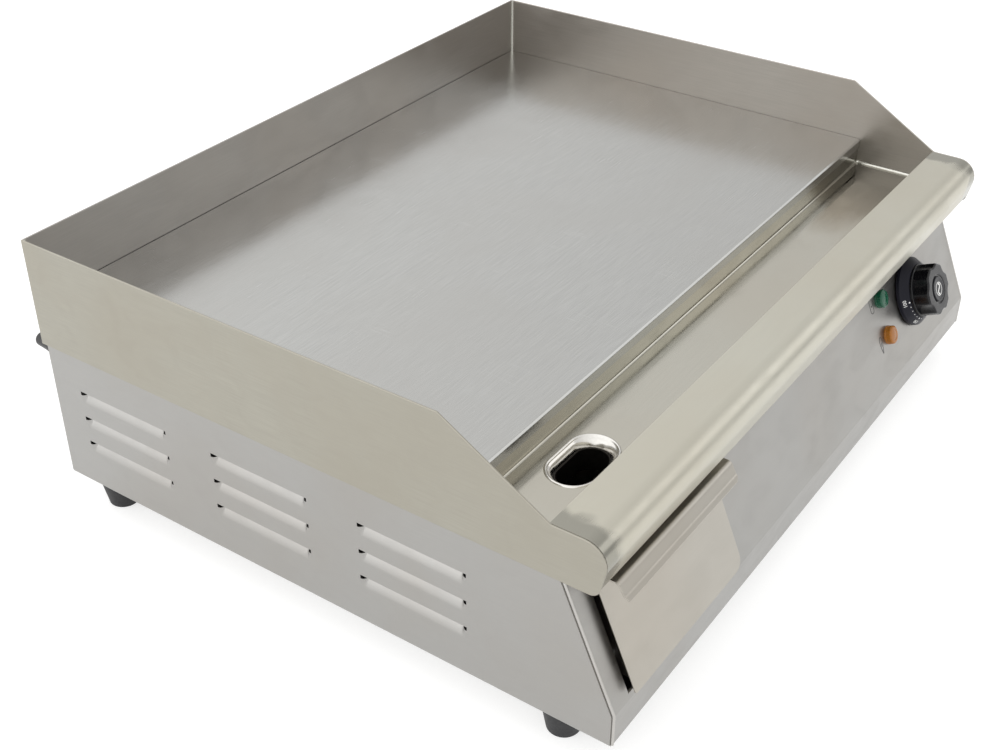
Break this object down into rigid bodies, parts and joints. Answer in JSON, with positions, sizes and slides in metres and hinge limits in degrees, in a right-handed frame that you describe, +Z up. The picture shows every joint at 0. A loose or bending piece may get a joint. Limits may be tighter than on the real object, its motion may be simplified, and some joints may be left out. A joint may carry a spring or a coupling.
{
  "type": "electric griddle",
  "caption": "Countertop electric griddle: flat steel plate in a splash guard, front grease trough with drain, slide-out grease drawer, thermostat knob and indicator lamps.",
  "frame": {"origin": "on the ground at the middle of the overall box", "axes": "+Z up, front (rail, drawer and knob) towards -Y, +X to the right seen from the front"},
  "size_m": [0.55, 0.4769, 0.2066],
  "materials": {
    "brushed_guard": "brushed along the length, warm grey",
    "polished_rail": "fine brushed with polished welds at the ends",
    "plate_steel": "ground cooking surface",
    "trough_steel": "brushed",
    "casing_steel": "satin",
    "drawer_steel": "satin",
    "galvanised": "galvanised sheet",
    "zinc_fasteners": "zinc plated",
    "knob_black": "moulded black",
    "knob_skirt_black": "moulded black with a printed scale",
    "knob_cap_black": "moulded black disc",
    "bakelite": "dark phenolic",
    "copper_bulb": "copper tube",
    "green_lens": "clear green",
    "amber_lens": "clear amber",
    "lamp_holder": "white plastic",
    "ceramic_white": "steatite",
    "insulation": "mineral fibre blanket",
    "gland_black": "black nylon",
    "brass_parts": "plain brass",
    "wire_sleeve": "glass fibre sleeve",
    "foot_rubber": "moulded black rubber",
    "element_sheath": "heat-darkened tube"
  },
  "bodies": {
    "griddle": {"guard_left": "brushed_guard", "guard_right": "brushed_guard", "guard_back": "brushed_guard", "front_rail": "polished_rail", "griddle_plate": "plate_steel", "grease_trough": "trough_steel", "drain_spout": "trough_steel", "side_panel_left": "casing_steel", "side_panel_right": "casing_steel", "back_panel": "casing_steel", "front_panel": "casing_steel", "base_plate": "galvanised", "foot_screws": "zinc_fasteners", "foot_nuts": "zinc_fasteners", "back_panel_screws": "zinc_fasteners", "base_plate_screws": "zinc_fasteners", "drawer_runner_left": "galvanised", "drawer_runner_right": "galvanised", "thermostat_body": "bakelite", "thermostat_screws": "zinc_fasteners", "thermostat_bulb": "copper_bulb", "thermostat_capillary": "copper_bulb", "limit_thermostat": "bakelite", "limit_bulb": "copper_bulb", "green_lens": "green_lens", "amber_lens": "amber_lens", "green_lamp_body": "lamp_holder", "amber_lamp_body": "lamp_holder", "lamp_nuts": "lamp_holder", "element_pins": "zinc_fasteners", "element_beads": "ceramic_white", "clamp_bars": "galvanised", "plate_studs": "zinc_fasteners", "clamp_nuts": "zinc_fasteners", "insulation_blanket": "insulation", "heat_shield": "galvanised", "plate_support_left": "galvanised", "plate_support_right": "galvanised", "cable_gland": "gland_black", "gland_locknut": "gland_black", "terminal_block": "ceramic_white", "terminal_screws": "brass_parts", "earth_stud": "brass_parts", "wiring_loom": "wire_sleeve", "foot_rear_left": "foot_rubber", "foot_rear_right": "foot_rubber", "foot_front_left": "foot_rubber", "foot_front_right": "foot_rubber", "heating_element_1": "element_sheath", "heating_element_2": "element_sheath", "heating_element_3": "element_sheath"},
    "drawer": {"drawer_face": "drawer_steel", "drawer_pull": "drawer_steel", "drawer_tray": "drawer_steel"},
    "knob": {"knob_skirt": "knob_skirt_black", "knob_grip": "knob_black", "knob_cap": "knob_cap_black", "thermostat_shaft": "zinc_fasteners"}
  },
  "joints": [
    {"name": "knob_turn", "type": "hinge", "parent": "griddle", "child": "knob", "pos_m": [0.1892, -0.21024, 0.0886], "axis": [0, -0.9162, 0.4007], "range_deg": [-300, 0]},
    {"name": "drawer_slide", "type": "slide", "parent": "griddle", "child": "drawer", "axis": [0, -1, 0], "range_m": [0, 0.17]}
  ]
}
